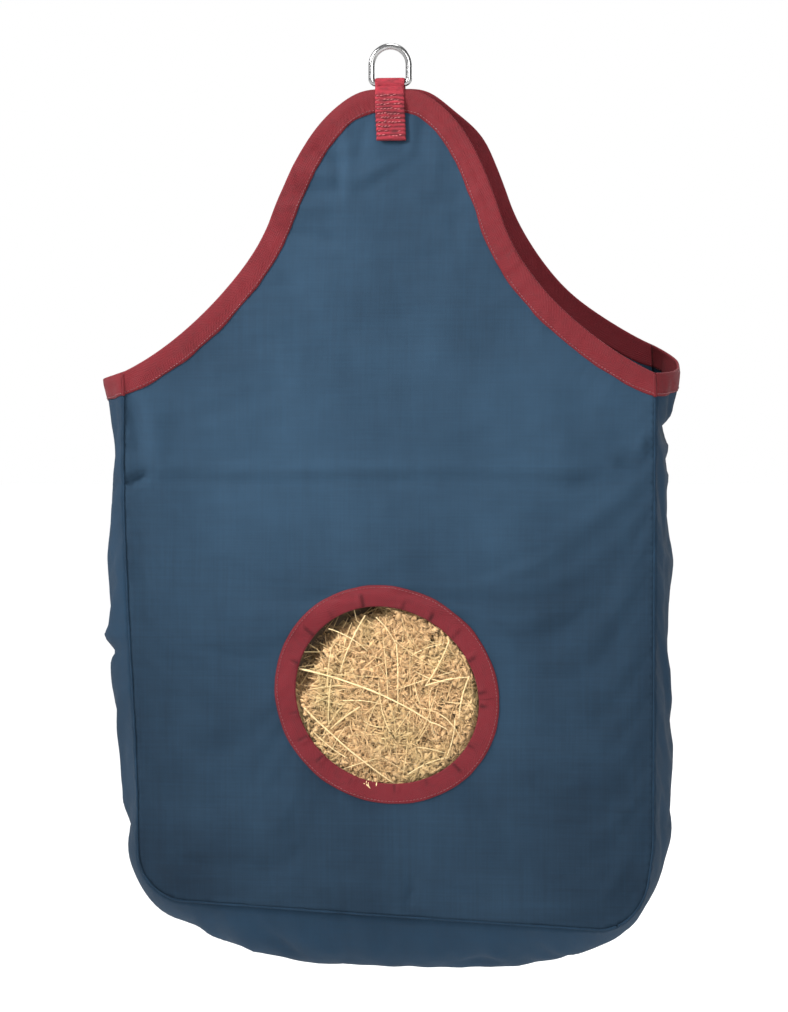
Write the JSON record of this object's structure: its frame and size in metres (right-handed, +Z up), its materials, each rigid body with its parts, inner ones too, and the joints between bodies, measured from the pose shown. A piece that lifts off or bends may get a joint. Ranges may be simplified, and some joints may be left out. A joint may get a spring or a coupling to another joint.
{
  "type": "hay bag",
  "caption": "Gusseted canvas hay bag with a tape-bound mouth, a round feed hole and a webbing hanger with a D-ring.",
  "frame": {"origin": "inner top of the D-ring, the point that bears on the hook", "axes": "+Z up, -Y out of the front panel with the feed hole, +X to the right of someone facing the front"},
  "size_m": [0.571, 0.1445, 0.9235],
  "materials": {
    "ring_steel": "satin",
    "hanger_webbing": "matte",
    "binding_tape": "matte",
    "thread": "satin",
    "canvas": "matte",
    "hay": "matte"
  },
  "bodies": {
    "ring": {"d_ring": "ring_steel"},
    "bag": {"hanger_webbing": "hanger_webbing", "hanger_stitching": "thread", "front_panel": "canvas", "back_panel": "canvas", "gusset_strip": "canvas", "front_seam": "canvas", "back_seam": "canvas", "front_mouth_binding": "binding_tape", "back_mouth_binding": "binding_tape", "left_gusset_binding": "binding_tape", "right_gusset_binding": "binding_tape", "feed_hole_binding": "binding_tape", "front_mouth_stitching": "thread", "back_mouth_stitching": "thread", "left_gusset_stitching": "thread", "right_gusset_stitching": "thread", "feed_hole_stitching": "thread", "hay_fill": "hay"}
  },
  "joints": [
    {"name": "ring_pivot", "type": "hinge", "parent": "ring", "child": "bag", "pos_m": [0, 0, -0.034], "axis": [1, 0, 0], "range_deg": [-95, 95]}
  ]
}
